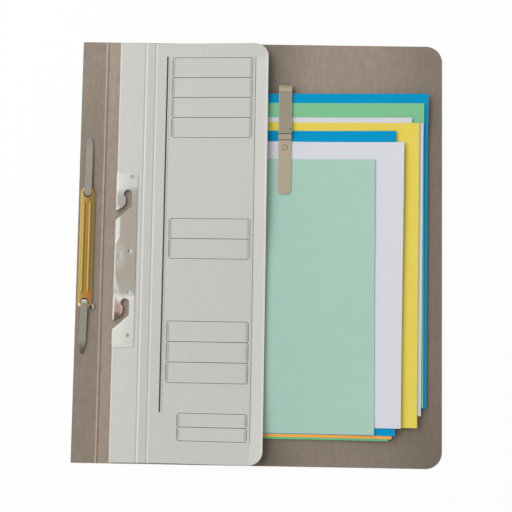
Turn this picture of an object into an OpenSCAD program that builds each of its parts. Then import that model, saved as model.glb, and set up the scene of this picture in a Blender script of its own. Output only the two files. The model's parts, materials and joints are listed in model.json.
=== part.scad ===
// Hook-in fastener folder, laid open on a table
// Millimetres: +X to the right, +Y up the page, +Z up from the table
// Origin: the middle of the underside

/* [Back card] */
// Height of all the card sheets
folder_h = 310; // [258:1:372]
// Width of the back cover, from the flap crease to its right edge
back_w = 249; // [207.5:0.5:299]
// Width of the fastener flap, from its free edge to its crease
flap_w = 18.5; // [17:0.5:30]
// Thickness of the card
card_t = 0.5; // [0.4:0.05:0.8]
// Corner radius of the back cover's right side
back_corner_r = 12; // [4:1:20]
// Radius of the raised bead along the flap crease
flap_bead_r = 0.4; // [0.2:0.05:0.4]

/* [Front sheet] */
// Distance from the flap crease to the front sheet's left edge
front_inset = 9.2; // [4:0.1:16]
// Width of the hook strip, from the left edge to the first crease
hook_w = 19.5; // [16.2:0.1:26]
// Width of the glued band between the two creases
band_w = 7.5; // [4:0.5:14]
// Width of the half cover, from the second crease to its right edge
front_w = 83.1; // [60:0.1:120]
// Distance of the front sheet's top edge below the back cover's
front_top_inset = 0.5; // [0:0.1:5]
// Distance of the front sheet's bottom edge above the back cover's
front_low_inset = 1; // [0:0.1:5]
// Corner radius of the half cover's right side
front_corner_r = 10; // [3:1:20]
// Angle at which the half cover stands open at rest
front_open = 2.5; // [2:0.1:8]
// Radius of the bead along each front crease
crease_bead_r = 0.25; // [0.15:0.05:0.35]
// Clearance between a crease bead and the panel that turns about it
crease_gap = 0.1; // [0.05:0.05:0.3]

/* [Hook plate] */
// Distance between the two filing positions
hole_pitch = 80; // [60:1:108]
// Height of the filing positions' middle above the folder's middle
filing_rise = 1; // [-10:0.5:10]
// Sheet metal thickness of the hook plate
plate_t = 0.3; // [0.2:0.05:0.5]
// Width of the plate's upper leaf, from the card's edge
plate_w = 15.5; // [13:0.1:15.8]
// Width of the plate's lower leaf, from the card's edge
plate_back_w = 13.5; // [8:0.1:14]
// Height of the plate above the upper slot's round end
plate_above = 15.5; // [8:0.1:25]
// Height of the plate below the lower slot's round end
plate_below = 32.3; // [28:0.1:45]
// Corner radius of the plate's right side
plate_corner_r = 2; // [0.5:0.1:5]
// Diameter of a slot's round end
slot_d = 6.2; // [5:0.1:7.5]
// Distance from the card's edge to a slot's round end
slot_inset = 8.5; // [7:0.1:10]
// Width of a slot's neck
slot_neck_w = 4.7; // [4.2:0.1:5]
// Length of a slot's straight wall below its round end
slot_drop = 9; // [8:0.1:12]
// Distance that a slot's lower wall falls from the straight wall to the card's edge
slot_fall = 10.4; // [8:0.1:14]
// Radius of the rounded lip beside a slot's neck
lip_r = 6; // [4:0.1:7]
// Distance from a slot's round end down to the start of its lip
lip_drop = 5.2; // [4:0.1:7]
// Angle of the lip's lower edge below the level
lip_angle = 30; // [20:1:40]
// Diameter of a crimp's head
crimp_head_d = 2.6; // [2:0.1:4]
// Diameter of a crimp's shank
crimp_d = 1.4; // [1:0.1:1.8]
// Height of a crimp's rim above the plate
crimp_head_h = 0.15; // [0.1:0.05:0.3]
// Diameter of the dish pressed into a crimp
crimp_dish_d = 1.6; // [1:0.1:1.8]
// Depth of the dish pressed into a crimp
crimp_dish_h = 0.25; // [0.1:0.05:0.3]
// Distance of the crimps to the right of the slots' round ends
crimp_side = 2.8; // [2:0.1:5]
// Height of the top crimp above the upper slot's round end
crimp_top_rise = 12.8; // [6:0.1:14]
// Depth of the second crimp below the middle of the filing positions
crimp_mid_drop = 2.5; // [0:0.1:10]
// Height of the third crimp above the lower slot's round end
crimp_low_rise = 7.6; // [5:0.1:20]
// Depth of the bottom crimp below the lower slot's round end
crimp_bottom_drop = 23.7; // [22:0.1:30]

/* [Fastener] */
// Distance from the flap's free edge to the fastener's centre line
fastener_inset = 6.7; // [6:0.1:12]
// Distance from a prong hole's centre to the cover strip's end
strip_end = 5; // [4:0.1:8]
// Width of the cover strip
strip_w = 10.3; // [9:0.1:11]
// Sheet metal thickness of the cover strip
strip_t = 0.4; // [0.3:0.05:0.6]
// Diameter of the cover strip's prong holes
strip_hole_d = 6; // [5.5:0.1:7]
// Width of a pressed rib on the cover strip
rib_w = 2.2; // [1.6:0.1:3]
// Height of a pressed rib above the cover strip
rib_h = 0.6; // [0.3:0.05:1]
// Distance from a prong hole's centre to the end of the ribs
rib_end = 7.6; // [6:0.1:14]
// Distance between the two ribs' centre lines
rib_pitch = 4.6; // [3.4:0.1:6]
// Sheet metal thickness of the fastener base
base_t = 0.4; // [0.3:0.05:0.6]
// Width that the base shows to the right of the cover strip
base_margin = 0.8; // [0:0.1:1.5]
// Diameter of a fastener rivet's head
rivet_head_d = 5; // [4:0.1:6]
// Height of a fastener rivet's head
rivet_head_h = 0.4; // [0.2:0.05:0.8]
// Diameter of a fastener rivet's shank
rivet_d = 2; // [1.5:0.1:2.5]
// Distance of the lower rivet to the right of the fastener's centre line
rivet_side = 4.8; // [4:0.1:6]
// Distance of the lower rivet below the lower prong
rivet_drop = 3.4; // [2.5:0.1:5]
// Distance of the upper rivet below the upper prong
rivet_hidden_drop = 9; // [7:0.1:20]
// Width of a prong
prong_w = 5.2; // [4:0.1:5.3]
// Sheet metal thickness of a prong
prong_t = 0.4; // [0.25:0.05:0.5]
// Length of the upper prong from its bend
prong_upper_l = 41.5; // [30:0.5:60]
// Length of the lower prong from its bend
prong_lower_l = 37.5; // [30:0.5:60]
// Radius of the rolled bend at a prong's root
prong_bend_r = 0.3; // [0.3:0.05:0.5]
// Radius of a prong's rounded tip
prong_tip_r = 1.2; // [1:0.1:2]
// Length of the taper before a prong's tip
prong_taper = 6; // [2:0.5:10]
// Clearance between a prong and the cover strip under it
prong_gap = 0.2; // [0.15:0.05:0.4]
// Angle by which a bent prong slopes down to the flap
prong_droop = 1.6; // [0:0.1:1.6]

/* [Spring clip] */
// Distance from the back cover's right edge to the clip's centre line
clip_inset = 115.85; // [60:0.05:140]
// Distance from the folder's top edge to the clip's bend
clip_drop = 31.3; // [20:0.1:60]
// Width of the clip
clip_w = 9.8; // [8:0.1:14]
// Sheet metal thickness of the clip
clip_t = 0.5; // [0.4:0.05:0.7]
// Length of the clip's arm, with its tongue
clip_l = 81.4; // [70:0.1:100]
// Length of the clip's leaf under the sheets
clip_leaf_l = 52; // [40:1:70]
// Distance from the bend to the step in the arm
clip_step_at = 35.9; // [25:0.1:45]
// Length of the step in the arm
clip_step_l = 4.4; // [3:0.1:8]
// Height of the step in the arm
clip_step_h = 1.6; // [1:0.1:3]
// Corner radius of the tongue's end
clip_end_r = 3.4; // [1:0.1:4]
// Gap left in the bend for the arm to spring up
clip_bend_gap = 0.4; // [0.35:0.05:0.6]
// Clearance between the tongue and the top sheet
clip_grip_gap = 0.1; // [0.05:0.05:0.3]
// Distance from the bend to the tongue's rivet
clip_rivet_at = 46.7; // [44:0.1:60]
// Diameter of the tongue rivet's head
clip_rivet_head_d = 4.5; // [3:0.1:6]
// Height of the tongue rivet's head
clip_rivet_head_h = 0.2; // [0.1:0.05:0.5]
// Diameter of the clip's rivet shanks
clip_rivet_d = 3; // [2:0.1:3.5]
// Distance from the bend to the first rivet in the leaf
clip_leaf_rivet_at = 14; // [8:0.5:20]
// Distance between the two rivets in the leaf
clip_leaf_rivet_pitch = 24; // [12:0.5:26]

/* [Sheets] */
// Thickness of a paper sheet
sheet_t = 0.1; // [0.05:0.01:0.15]
// Distance from the back cover's right edge to the sheets' hidden left edges
sheet_reach = 158.75; // [140:0.05:165]
// Back blue sheet: inset from the right edge, drop from the top edge, height
blue_back = [11.05, 36.55, 230.5]; // [5:0.05:300]
// Back green sheet: inset, drop, height
green_back = [13.65, 43.85, 222.4]; // [5:0.05:300]
// Back white sheet: inset, drop, height
white_back = [14.6, 58.9, 213.1]; // [5:0.05:300]
// Second white sheet: inset, drop, height
white_middle = [22.75, 54.8, 215.3]; // [5:0.05:300]
// Yellow sheet: inset, drop, height
yellow = [17.9, 58.9, 221.7]; // [5:0.05:300]
// Low green sheet: inset, drop, height
green_low = [39.3, 68.3, 222]; // [5:0.05:300]
// Orange sheet: inset, drop, height
orange = [36.7, 67.5, 221.3]; // [5:0.05:300]
// Front blue sheet: inset, drop, height
blue_front = [34.35, 64.9, 221.6]; // [5:0.05:300]
// Front white sheet: inset, drop, height
white_front = [29.45, 73.4, 207.6]; // [5:0.05:300]
// Mint sheet on top: inset, drop, height
mint = [49.45, 86.4, 199.6]; // [5:0.05:300]

/* [Hidden] */
$fn = 48;

// Overshoot of a cut past the faces that it opens
cut = 1;

// Places across the folder
total_w = flap_w + back_w;
x_left = -total_w / 2;
x_right = total_w / 2;
x_flap = x_left + flap_w;
x_edge = x_flap + front_inset;
x_crease_1 = x_edge + hook_w;
x_crease_2 = x_crease_1 + band_w;
y_top = folder_h / 2;
front_h = folder_h - front_top_inset - front_low_inset;
y_front = (front_low_inset - front_top_inset) / 2;

// Levels
z_card = card_t;
z_front = 2 * card_t;

// Hook strip: it rises just enough for the plate's lower leaf to lie over the back cover
leaf_gap = 0.05;
hook_rise = asin((plate_t + leaf_gap) / (hook_w - plate_back_w));
plate_fold_r = card_t / 2 + plate_t;
plate_h = hole_pitch + plate_above + plate_below;
plate_low = filing_rise - hole_pitch / 2 - plate_below;
slot_ends = [filing_rise + hole_pitch / 2, filing_rise - hole_pitch / 2];
slot_x = slot_inset - hook_w;
crimp_heights = [
    slot_ends[0] + crimp_top_rise,
    filing_rise - crimp_mid_drop,
    slot_ends[1] + crimp_low_rise,
    slot_ends[1] - crimp_bottom_drop
];
crimp_dish_r = (crimp_dish_d * crimp_dish_d / 4 + crimp_dish_h * crimp_dish_h) / (2 * crimp_dish_h);

// Fastener: base, rivet heads, cover strip and prongs lie on each other
x_fastener = x_left + fastener_inset;
z_base = z_card + base_t;
z_strip = z_base + rivet_head_h;
z_prong = z_strip + strip_t + prong_gap + prong_t / 2;
strip_l = hole_pitch + 2 * strip_end;
rib_l = hole_pitch - 2 * rib_end;
rib_r = (rib_w * rib_w / 4 + rib_h * rib_h) / (2 * rib_h);
base_r = strip_w / 2;
rivets = [
    [x_fastener + rivet_side, slot_ends[1] - rivet_drop],
    [x_fastener, slot_ends[0] - rivet_hidden_drop]
];
ear_margin = 0.5;

// Clip: the sheets lie on its leaf, and its tongue lies on the sheets
x_clip = x_right - clip_inset;
y_clip = y_top - clip_drop;
sheet_count = 10;
z_stack = z_card + clip_t;
z_tongue = z_stack + sheet_count * sheet_t + clip_grip_gap;
z_arm = z_tongue + clip_step_h;
clip_bend_r = (z_arm + clip_t - z_card) / 2;
z_clip_bend = z_card + clip_bend_r;
y_clip_bend = y_clip - clip_bend_r;
clip_rivet_gap = 0.05;

// A panel from the origin to the right, with its two right corners rounded
module right_rounded(w, h, r) {
    translate([0, -h / 2]) square([w - r, h]);
    translate([0, r - h / 2]) square([w, h - 2 * r]);
    for (side = [-1, 1])
        translate([w - r, side * (h / 2 - r)]) circle(r);
}

// A rod along Y, centred on the origin
module rod_y(l, r) {
    rotate([90, 0, 0]) cylinder(h = l, r = r, center = true);
}

// A rod along X, centred on the origin
module rod_x(l, r) {
    rotate([0, 90, 0]) cylinder(h = l, r = r, center = true);
}

// Frame of the hook strip: the first crease at the card's top face, turned to its rest angle
module at_hook() {
    translate([x_crease_1, 0, z_front]) rotate([0, hook_rise, 0]) children();
}

// A low button with a shank under it, its head's underside at the origin
module button(head_d, head_h, shank_d, shank_l) {
    cylinder(h = head_h, d1 = head_d, d2 = head_d - head_h);
    translate([0, 0, -shank_l]) cylinder(h = shank_l, d = shank_d);
}

// Back cover, with the crease bead that the flap folds about
module back_cover() {
    color("#8c8175") {
        difference() {
            translate([x_flap, 0, 0]) linear_extrude(card_t) right_rounded(back_w, folder_h, back_corner_r);
            clip_leaf_rivet_holes();
        }
        translate([x_flap, 0, z_card]) rod_y(folder_h, flap_bead_r);
    }
}

// Band of the front sheet that is glued to the back cover, with a bead along each crease
module cover_band() {
    color("#cbcac5") {
        translate([x_crease_1, y_front - front_h / 2, z_card]) cube([band_w, front_h, card_t]);
        for (x = [x_crease_1, x_crease_2])
            translate([x, y_front, z_front]) rod_y(front_h, crease_bead_r);
    }
}

// Half cover, standing a little open on the second crease
module front_half_cover() {
    inner = crease_bead_r + crease_gap;
    color("#c8c7c2")
        translate([x_crease_2, y_front, z_front]) rotate([0, -front_open, 0])
            translate([inner, 0, -card_t]) linear_extrude(card_t)
                right_rounded(front_w - inner, front_h, front_corner_r);
}

// Plan of one hook slot about its round end: it drops, then runs out to the left edge under a rounded lip
module slot_plan() {
    wall = slot_d / 2;
    neck = wall - slot_neck_w;
    run = wall + slot_inset;
    out = slot_inset + plate_fold_r + cut;
    lip_end = [
        neck - lip_r + lip_r * sin(lip_angle),
        -lip_drop - lip_r * cos(lip_angle)
    ];
    circle(d = slot_d);
    difference() {
        polygon([
            [wall, 0],
            [wall, -slot_drop],
            [-out, -slot_drop - slot_fall * (wall + out) / run],
            [-out, 0],
        ]);
        translate([neck - lip_r, -lip_drop]) circle(lip_r);
        translate([-out - cut, -lip_drop]) square([out + cut + neck, lip_drop + cut]);
        polygon([
            [neck - lip_r, -lip_drop],
            lip_end,
            [-out - cut, lip_end[1] - (lip_end[0] + out + cut) * tan(lip_angle)],
            [-out - cut, -lip_drop],
        ]);
    }
}

// Both hook slots, cut right through the strip and the plate
module slot_cuts() {
    depth = card_t + 2 * plate_t + 2 * cut;
    for (y = slot_ends)
        translate([slot_x, y, plate_t + cut - depth]) linear_extrude(depth) slot_plan();
}

// Shank holes of the crimps
module crimp_holes() {
    for (y = crimp_heights)
        translate([slot_x + crimp_side, y, -card_t - plate_t - cut])
            cylinder(h = card_t + 2 * plate_t + 2 * cut, d = crimp_d);
}

// Free strip of the front sheet that carries the hook plate
module hook_strip() {
    color("#cecdc8") at_hook() difference() {
        translate([-hook_w, y_front - front_h / 2, -card_t])
            cube([hook_w - crease_bead_r - crease_gap, front_h, card_t]);
        slot_cuts();
        crimp_holes();
    }
}

// Steel plate folded round the strip's edge, its leaves on both faces of the card
module hook_plate() {
    color("#c2beb4") at_hook() difference() {
        intersection() {
            translate([0, plate_low + plate_h, 0]) rotate([90, 0, 0]) linear_extrude(plate_h) {
                translate([-hook_w, 0]) square([plate_w, plate_t]);
                translate([-hook_w, -card_t - plate_t]) square([plate_back_w, plate_t]);
                difference() {
                    translate([-hook_w, -card_t / 2]) circle(plate_fold_r);
                    translate([-hook_w, -card_t / 2]) circle(card_t / 2);
                    translate([-hook_w, -card_t]) square([plate_fold_r, card_t]);
                    translate([-hook_w, -card_t / 2 - plate_fold_r]) square(2 * plate_fold_r);
                }
            }
            translate([-hook_w - plate_fold_r, plate_low + plate_h / 2, -card_t - plate_t - cut])
                linear_extrude(card_t + 2 * plate_t + 2 * cut)
                    right_rounded(plate_w + plate_fold_r, plate_h, plate_corner_r);
        }
        slot_cuts();
        crimp_holes();
    }
}

// Crimps that hold the plate's leaves to the card, each with a dish pressed into its head
module plate_crimps() {
    color("#aaa69c") at_hook()
        for (y = crimp_heights)
            translate([slot_x + crimp_side, y, plate_t]) difference() {
                button(crimp_head_d, crimp_head_h, crimp_d, card_t + 2 * plate_t);
                translate([0, 0, crimp_head_h + crimp_dish_r - crimp_dish_h]) sphere(crimp_dish_r);
            }
}

// Fold-out flap that carries the fastener
module fastener_flap() {
    color("#95877a") difference() {
        translate([x_left, -folder_h / 2, 0]) cube([flap_w - flap_bead_r - crease_gap, folder_h, card_t]);
        fastener_rivet_holes();
    }
}

// Shank holes of the fastener's rivets
module fastener_rivet_holes() {
    for (p = rivets)
        translate([p[0], p[1], -cut]) cylinder(h = z_base + 2 * cut, d = rivet_d);
}

// A strip along Y with round ends, centred on the origin
module round_strip_plan(l, w) {
    square([w, l - w], center = true);
    for (side = [-1, 1])
        translate([0, side * (l - w) / 2]) circle(d = w);
}

// Steel base of the fastener, with the two prong roots standing on it
module fastener_base() {
    root_top = z_prong - prong_bend_r - crease_gap;
    color("#9c978b") {
        difference() {
            translate([0, 0, z_card]) linear_extrude(base_t) {
                translate([x_fastener, filing_rise]) round_strip_plan(strip_l, strip_w);
                translate([x_fastener, filing_rise - (strip_l - strip_w) / 2])
                    square([base_r + base_margin, strip_l - strip_w]);
                translate(rivets[0]) circle(d = rivet_head_d + 2 * ear_margin);
            }
            fastener_rivet_holes();
        }
        for (y = slot_ends)
            translate([x_fastener - prong_w / 2, y - prong_t / 2, z_base])
                cube([prong_w, prong_t, root_top - z_base]);
    }
}

// Rivets that hold the base to the flap
module fastener_rivets() {
    color("#c4c4c0")
        for (p = rivets)
            translate([p[0], p[1], z_base]) button(rivet_head_d, rivet_head_h, rivet_d, z_base);
}

// A rib's rounded length, lying along Y with its axis at the origin
module rib_form(r) {
    rod_y(rib_l, r);
    for (side = [-1, 1])
        translate([0, side * rib_l / 2, 0]) sphere(r);
}

// Both ribs, placed so that they stand rib_h above the strip
module rib_pair(r) {
    for (side = [-1, 1])
        translate([side * rib_pitch / 2, 0, strip_t + rib_h - rib_r]) rib_form(r);
}

// Pressed brass strip with hollow ribs and a hole for each prong
module cover_strip() {
    color("#c0a45e") translate([x_fastener, filing_rise, z_strip]) difference() {
        union() {
            linear_extrude(strip_t) round_strip_plan(strip_l, strip_w);
            intersection() {
                rib_pair(rib_r);
                translate([-strip_w / 2, -strip_l / 2, 0]) cube([strip_w, strip_l, strip_t + rib_h]);
            }
        }
        rib_pair(rib_r - strip_t);
        for (side = [-1, 1])
            translate([0, side * hole_pitch / 2, -cut]) cylinder(h = strip_t + 2 * cut, d = strip_hole_d);
    }
}

// A prong from its bend: the blade runs along +Y and slopes down to the flap
module prong(l) {
    rod_x(prong_w, prong_bend_r);
    rotate([-prong_droop, 0, 0]) translate([0, 0, -prong_t / 2]) linear_extrude(prong_t) {
        shoulder = l - prong_tip_r - prong_taper;
        translate([-prong_w / 2, 0]) square([prong_w, shoulder]);
        polygon([
            [-prong_w / 2, shoulder],
            [prong_w / 2, shoulder],
            [prong_tip_r, l - prong_tip_r],
            [-prong_tip_r, l - prong_tip_r],
        ]);
        translate([0, l - prong_tip_r]) circle(prong_tip_r);
    }
}

module prong_upper() {
    color("#9a9589") translate([x_fastener, slot_ends[0], z_prong]) prong(prong_upper_l);
}

module prong_lower() {
    color("#9a9589") translate([x_fastener, slot_ends[1], z_prong]) mirror([0, 1, 0]) prong(prong_lower_l);
}

// Half of the clip's round bend: side 1 is its upper half, side -1 its lower half
module clip_bend(side) {
    translate([x_clip, y_clip_bend, z_clip_bend]) intersection() {
        difference() {
            rod_x(clip_w, clip_bend_r);
            rod_x(clip_w + 2 * cut, clip_bend_r - clip_t);
        }
        translate([-clip_w / 2, 0, side > 0 ? clip_bend_gap / 2 : -clip_bend_r])
            cube([clip_w, clip_bend_r, clip_bend_r - clip_bend_gap / 2]);
    }
}

// Places of the two rivets in the clip's leaf
module at_leaf_rivets() {
    for (i = [0, 1])
        translate([x_clip, y_clip - clip_leaf_rivet_at - i * clip_leaf_rivet_pitch, 0]) children();
}

module clip_leaf_rivet_holes() {
    at_leaf_rivets() translate([0, 0, -cut]) cylinder(h = z_stack + 2 * cut, d = clip_rivet_d);
}

// The clip's leaf under the sheets, with the lower half of the bend
module clip_base() {
    color("#9a9180") {
        difference() {
            translate([x_clip - clip_w / 2, y_clip - clip_leaf_l, z_card])
                cube([clip_w, clip_leaf_l - clip_bend_r, clip_t]);
            clip_leaf_rivet_holes();
        }
        clip_bend(-1);
    }
}

// Flush rivets that hold the clip's leaf to the back cover
module clip_base_rivets() {
    color("#a8a294") at_leaf_rivets() cylinder(h = z_stack, d = clip_rivet_d);
}

// The clip's arm: from the bend it runs level, steps down and ends in a tongue on the sheets
module clip_arm() {
    step_start = -clip_step_at;
    step_end = -clip_step_at - clip_step_l;
    color("#b4a390") {
        difference() {
            translate([x_clip, y_clip, 0]) intersection() {
                rotate([90, 0, 90]) translate([0, 0, -clip_w / 2]) linear_extrude(clip_w) polygon([
                    [-clip_bend_r, z_arm],
                    [step_start, z_arm],
                    [step_end, z_tongue],
                    [-clip_l, z_tongue],
                    [-clip_l, z_tongue + clip_t],
                    [step_end, z_tongue + clip_t],
                    [step_start, z_arm + clip_t],
                    [-clip_bend_r, z_arm + clip_t],
                ]);
                rotate([0, 0, -90]) translate([0, 0, z_card]) linear_extrude(z_arm + clip_t)
                    right_rounded(clip_l, clip_w, clip_end_r);
            }
            translate([x_clip, y_clip - clip_rivet_at, z_tongue - cut])
                cylinder(h = clip_t + 2 * cut, d = clip_rivet_d + 2 * clip_rivet_gap);
        }
        clip_bend(1);
    }
}

// Rivet in the clip's tongue
module clip_rivet() {
    color("#bfb3a0") translate([x_clip, y_clip - clip_rivet_at, z_tongue + clip_t])
        button(clip_rivet_head_d, clip_rivet_head_h, clip_rivet_d, clip_t);
}

// A paper sheet: place holds its inset, drop and height, layer its number in the stack from the back
module paper(place, layer) {
    translate([x_right - sheet_reach, y_top - place[1] - place[2], z_stack + layer * sheet_t])
        cube([sheet_reach - place[0], place[2], sheet_t]);
}

module sheet_blue_back() { color("#0a93c6") paper(blue_back, 0); }
module sheet_green_back() { color("#7fc193") paper(green_back, 1); }
module sheet_white_back() { color("#d7dadf") paper(white_back, 2); }
module sheet_white_middle() { color("#d7dadf") paper(white_middle, 3); }
module sheet_yellow() { color("#e4d460") paper(yellow, 4); }
module sheet_green_low() { color("#5fae7d") paper(green_low, 5); }
module sheet_orange() { color("#e6a546") paper(orange, 6); }
module sheet_blue_front() { color("#1196c4") paper(blue_front, 7); }
module sheet_white_front() { color("#d3d4d9") paper(white_front, 8); }
module sheet_mint() { color("#a8cabb") paper(mint, 9); }

back_cover();
cover_band();
front_half_cover();
hook_strip();
hook_plate();
plate_crimps();
fastener_flap();
fastener_base();
fastener_rivets();
cover_strip();
prong_upper();
prong_lower();
clip_base();
clip_base_rivets();
clip_arm();
clip_rivet();
sheet_blue_back();
sheet_green_back();
sheet_white_back();
sheet_white_middle();
sheet_yellow();
sheet_green_low();
sheet_orange();
sheet_blue_front();
sheet_white_front();
sheet_mint();
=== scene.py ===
# %% [markdown]
# # A hook-in fastener folder, lying open
# Two sheets of card, one grey-brown and one light grey, carry a prong fastener, a hook plate and a spring
# clip with ten sheets of paper under it. The imported model comes first: its boxes give the places, some of
# the pieces made below ride on bodies, and nothing in it is moved.

# %% Load the imported model
import json
import math

import bmesh
import bpy
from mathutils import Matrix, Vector


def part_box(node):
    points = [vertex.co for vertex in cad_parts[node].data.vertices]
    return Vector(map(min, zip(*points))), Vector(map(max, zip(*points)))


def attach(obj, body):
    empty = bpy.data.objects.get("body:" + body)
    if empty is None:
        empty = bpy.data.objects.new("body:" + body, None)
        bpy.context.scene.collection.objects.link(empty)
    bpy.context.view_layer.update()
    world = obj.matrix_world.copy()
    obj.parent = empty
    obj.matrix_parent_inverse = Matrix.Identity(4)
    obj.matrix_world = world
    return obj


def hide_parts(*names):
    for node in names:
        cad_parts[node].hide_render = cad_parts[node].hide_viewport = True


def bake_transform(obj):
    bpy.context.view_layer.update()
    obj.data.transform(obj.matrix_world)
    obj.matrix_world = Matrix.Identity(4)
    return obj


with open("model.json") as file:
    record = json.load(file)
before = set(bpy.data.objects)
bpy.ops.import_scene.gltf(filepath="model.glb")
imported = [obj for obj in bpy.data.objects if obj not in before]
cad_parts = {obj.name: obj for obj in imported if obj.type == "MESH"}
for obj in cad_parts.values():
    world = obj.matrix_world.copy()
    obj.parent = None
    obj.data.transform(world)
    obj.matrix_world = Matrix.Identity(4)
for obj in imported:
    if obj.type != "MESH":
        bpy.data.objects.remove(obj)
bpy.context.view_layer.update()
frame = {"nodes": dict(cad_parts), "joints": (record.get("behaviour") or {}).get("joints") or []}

MM = 0.001
scene = bpy.context.scene
hinges = [joint for joint in frame["joints"] if joint["type"] == "hinge"]
crease_at = {joint["name"]: Vector(joint["pos_m"]) for joint in hinges}

# %% [markdown]
# ## The camera
# The folder is seen from almost straight above, from about 0.6 m. A 60 mm lens on a full-size sensor gives
# the same narrowing of the far edges as the picture. The place and the tilt were fitted to the corners of
# the cards, so no lens shift is needed.

# %% Camera
camera = bpy.data.objects.new("camera", bpy.data.cameras.new("camera"))
camera.data.lens = 60
camera.data.sensor_width = 36
camera.data.clip_start = 0.01
camera.location = Vector((3.32, -48.86, 624.26)) * MM
camera.rotation_euler = [math.radians(angle) for angle in (4.182, 0.452, 0.939)]
scene.collection.objects.link(camera)
scene.camera = camera
print("camera", round(camera.location.length, 3), "m away")

# %% [markdown]
# ## Shader sums
# A finish is easier to read as a sum than as a list of nodes and links. A Wire holds one output of a node,
# and each operator on it adds one Math node. Finish.node adds any other node: its settings come first,
# because they can change which sockets the node has. Groups of nodes would do the same work, but they hide
# the sums.


# %% Wires and finishes
class Wire:
    """An output of a node that can stand in a sum."""

    def __init__(self, finish, socket):
        self.finish = finish
        self.socket = socket

    def sum(self, operation, first, second):
        return self.finish.node("ShaderNodeMath", {"operation": operation}, {0: first, 1: second})

    def __add__(self, other):
        return self.sum("ADD", self, other)

    def __sub__(self, other):
        return self.sum("SUBTRACT", self, other)

    def __rsub__(self, other):
        return self.sum("SUBTRACT", other, self)

    def __mul__(self, other):
        return self.sum("MULTIPLY", self, other)

    def __truediv__(self, other):
        return self.sum("DIVIDE", self, other)

    __radd__ = __add__
    __rmul__ = __mul__


class Finish:
    """A node tree with its shader: a material's, or the sky's."""

    def __init__(self, name, sky=False):
        self.owner = (bpy.data.worlds if sky else bpy.data.materials).new(name)
        self.owner.use_nodes = True
        self.tree = self.owner.node_tree
        self.shader = self.tree.nodes["Background" if sky else "Principled BSDF"]
        self.place = self.node("ShaderNodeTexCoord", output="Generated" if sky else "Object")

    def node(self, kind, settings=None, sockets=None, output=0):
        made = self.tree.nodes.new(kind)
        for name, value in (settings or {}).items():
            setattr(made, name, value)
        for key, value in (sockets or {}).items():
            self.put(made.inputs[key], value)
        return Wire(self, made.outputs[output])

    def put(self, socket, value):
        if isinstance(value, Wire):
            self.tree.links.new(value.socket, socket)
        else:
            socket.default_value = value

    def axis(self, name):
        """The place along X, Y or Z, in metres."""
        return self.node("ShaderNodeSeparateXYZ", None, {0: self.place}, output=name)

    def noise(self, size_mm, detail=2.0, stretch=(1, 1, 1)):
        """Soft noise from 0 to 1 whose spots are about size_mm across, drawn out by stretch."""
        grain = tuple(1 / (size_mm * MM * side) for side in stretch)
        point = self.node("ShaderNodeVectorMath", {"operation": "MULTIPLY"}, {0: self.place, 1: grain})
        return self.node("ShaderNodeTexNoise", None, {"Vector": point, "Scale": 1.0, "Detail": detail})

    def step(self, value, low, high):
        """0 below low, 1 above high, and smooth between them."""
        settings = {"interpolation_type": "SMOOTHSTEP"}
        return self.node("ShaderNodeMapRange", settings, {0: value, 1: low, 2: high, 3: 0.0, 4: 1.0})

    def mix(self, share, first, second, way="MIX"):
        settings = {"data_type": "RGBA", "blend_type": way}
        return self.node("ShaderNodeMix", settings, {0: share, 6: first, 7: second}, output=2)

    def band(self, value, low, high, blur):
        """1 between low and high, 0 outside."""
        return self.step(value, low - blur, low + blur) * (1 - self.step(value, high - blur, high + blur))

    def bump(self, height, depth_mm):
        """A normal for relief of depth_mm between height 0 and height 1."""
        return self.node("ShaderNodeBump", None, {"Height": height, "Distance": depth_mm * MM})

    def done(self, **sockets):
        for name, value in sockets.items():
            self.put(self.shader.inputs[name.replace("_", " ")], value)
        print("finish", self.owner.name, len(self.tree.nodes), "nodes")
        return self.owner


def screen(red, green, blue):
    """A colour as a screen shows it, 0 to 255, as the linear colour that a shader takes."""
    def linear(level):
        share = level / 255
        return share / 12.92 if share <= 0.04045 else ((share + 0.055) / 1.055) ** 2.4
    return (linear(red), linear(green), linear(blue), 1.0)


def shade(colour, factor):
    """The same colour, lighter or darker."""
    return tuple(min(1.0, part * factor) for part in colour[:3]) + (1.0,)


# %% [markdown]
# ## Card
# Folder card is pressed from recycled fibres. It has no coating, so it is dull, and its colour drifts: wide
# clouds and a finer mottle where the pulp lay thicker, short fibres along the machine's direction, and a
# few dark and light flecks. The light grey sheet is smoother and paler, with the same parts at lower
# strength. Light and shade are also painted into the grey-brown sheet: painted light along its top, painted
# shade at the right and along the bottom, a painted shadow beside the half cover's edge, and a painted
# highlight and painted shade on the two flanks of its crease. Its flap is darker in tone, and a band right
# of the crease is lighter. The light grey one has painted highlights and painted shade beside its creases
# and a painted highlight along its free edge.

# %% Card finishes
def card_finish(name, colour, drift, roughness, relief_mm, tone_and_shading=None):
    finish = Finish(name)
    clouds = finish.noise(38, 3)
    mottle = finish.step(finish.noise(3.2, 2, (1, 2.4, 1)), 0.3, 0.7)
    fibres = finish.noise(0.9, 3, (1, 7, 1))
    flecks = finish.step(finish.noise(1.3, 1, (1, 1.6, 1)), 0.66, 0.74)
    pale = finish.step(finish.noise(1.1, 1, (1.7, 1, 1)), 0.68, 0.76)
    drifted = clouds * 0.4 + mottle * 0.3 + fibres * 0.3
    tone = finish.mix(drifted, shade(colour, 1 - drift), shade(colour, 1 + drift))
    tone = finish.mix(flecks * (drift * 1.1), tone, shade(colour, 0.45))
    tone = finish.mix(pale * (drift * 0.9), tone, shade(colour, 1.7))
    for mask, share, factor in tone_and_shading(finish) if tone_and_shading else []:
        tone = finish.mix(mask * share, tone, (factor, factor, factor, 1), "MULTIPLY")
    relief = fibres * 0.6 + finish.noise(0.28, 2) * 0.4
    return finish.done(
        Base_Color=tone,
        Roughness=fibres * 0.12 + (roughness - 0.06),
        Normal=finish.bump(relief, relief_mm),
        Specular_IOR_Level=0.3,
    )


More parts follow.
